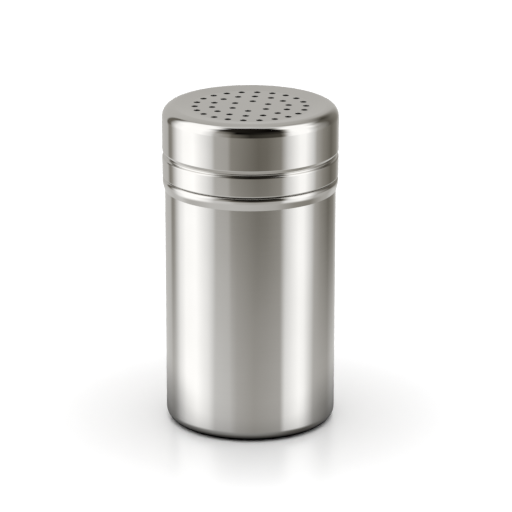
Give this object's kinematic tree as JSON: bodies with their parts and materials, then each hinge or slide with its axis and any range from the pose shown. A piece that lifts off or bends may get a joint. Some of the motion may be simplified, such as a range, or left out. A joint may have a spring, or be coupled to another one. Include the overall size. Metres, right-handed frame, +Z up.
{
  "type": "spice shaker",
  "caption": "Cylindrical steel shaker: a can with a threaded neck collar and a screw lid whose perforated top sprinkles powder or spice.",
  "frame": {"origin": "centre of the ring that the can stands on, at the level of the table", "axes": "+Z up along the shaker's axis; +X and +Y are level and alike, because the shaker is round"},
  "size_m": [0.07, 0.07, 0.13],
  "materials": {
    "satin_steel": "satin, brushed round the axis",
    "polished_steel": "mirror polished stainless steel",
    "ring_plastic": "moulded, natural white",
    "seal_silicone": "matt silicone"
  },
  "bodies": {
    "can": {"body_can": "satin_steel", "neck_collar": "polished_steel"},
    "seal": {"seal_ring": "seal_silicone"},
    "lid": {"lid_cap": "polished_steel", "thread_ring": "ring_plastic"}
  },
  "joints": [
    {"name": "lid_climb", "type": "slide", "parent": "can", "child": "seal", "axis": [0, 0, 1], "range_m": [0, 0.0061]},
    {"name": "lid_turn", "type": "hinge", "parent": "seal", "child": "lid", "pos_m": [0, 0, 0.107], "axis": [0, 0, 1], "range_deg": [0, 720]}
  ],
  "couplings": [
    {"joint": "lid_climb", "follows": "lid_turn", "m_per_rad": 0.00047746}
  ]
}
